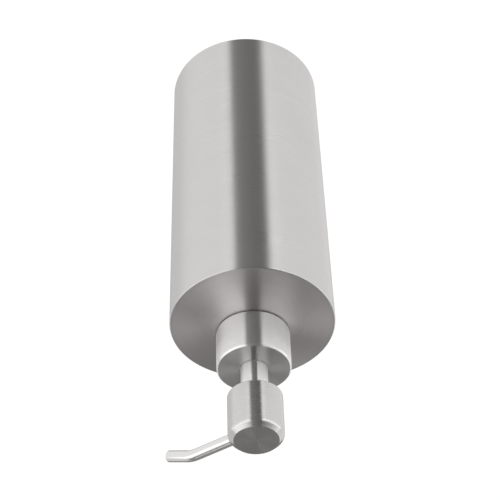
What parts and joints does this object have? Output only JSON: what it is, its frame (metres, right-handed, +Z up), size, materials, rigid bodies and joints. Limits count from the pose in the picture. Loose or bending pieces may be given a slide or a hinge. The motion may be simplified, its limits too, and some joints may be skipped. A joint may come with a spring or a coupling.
{
  "type": "wall mounted soap dispenser",
  "caption": "Brushed steel cylinder on a wall plate, with an upward push pump in its base, a swivelling bent spout and a lift-off lid for filling.",
  "frame": {"origin": "middle of the wall plate's back face, on the wall", "axes": "+Y into the wall, +Z up along the tube, +X to the right for a person who faces the wall"},
  "size_m": [0.0791, 0.084, 0.2341],
  "materials": {
    "satin_steel": "satin",
    "screw_steel": "plain",
    "brushed_tube": "grain round the tube",
    "turned_disc": "circular grain",
    "turned_steel": "fine turned grain",
    "polished_steel": "polished",
    "white_plastic": "moulded",
    "ivory_plastic": "moulded",
    "black_rubber": "matte",
    "ball_steel": "polished",
    "spring_steel": "drawn wire"
  },
  "bodies": {
    "housing": {"wall_plate": "satin_steel", "mounting_shoe": "satin_steel", "lock_screw": "screw_steel", "body_tube": "brushed_tube", "base_disc": "turned_disc", "reservoir": "white_plastic", "collar_washer": "black_rubber", "collar_nut": "turned_steel", "guide_bush": "ivory_plastic", "neck_gasket": "black_rubber", "pump_cylinder": "white_plastic", "intake_shroud": "white_plastic", "inlet_cage": "ivory_plastic", "rod_guide": "ivory_plastic", "rod_seal": "black_rubber", "return_spring": "spring_steel"},
    "lid": {"lid_disc": "turned_disc", "lid_knob": "turned_steel", "lid_screw": "screw_steel", "lid_plug": "ivory_plastic", "lid_o_ring": "black_rubber"},
    "inlet_valve": {"inlet_ball": "ball_steel"},
    "plunger": {"piston": "ivory_plastic", "piston_seal": "black_rubber", "piston_rod": "ivory_plastic"},
    "head": {"stem_sleeve": "turned_steel", "knob_shell": "turned_steel", "knob_core": "ivory_plastic", "rod_o_ring": "black_rubber", "outlet_spring": "spring_steel", "spout_tube": "polished_steel", "spout_o_ring": "black_rubber"},
    "outlet_valve": {"outlet_ball": "ball_steel"}
  },
  "joints": [
    {"name": "pump_press", "type": "slide", "parent": "housing", "child": "plunger", "axis": [0, 0, 1], "range_m": [0, 0.0125], "stiffness_N_per_m": 640, "springref_m": -0.0125, "deforming": ["return_spring"]},
    {"name": "head_swivel", "type": "hinge", "parent": "plunger", "child": "head", "pos_m": [0, -0.0394, -0.12], "axis": [0, 0, 1], "range_deg": [-20, 265]},
    {"name": "lid_lift", "type": "slide", "parent": "housing", "child": "lid", "axis": [0, 0, 1], "range_m": [0, 0.06]},
    {"name": "inlet_ball_lift", "type": "slide", "parent": "housing", "child": "inlet_valve", "axis": [0, 0, 1], "range_m": [0, 0.0015]},
    {"name": "outlet_ball_drop", "type": "slide", "parent": "head", "child": "outlet_valve", "axis": [0, 0, -1], "range_m": [0, 0.001], "stiffness_N_per_m": 80, "springref_m": -0.004, "deforming": ["outlet_spring"]}
  ]
}
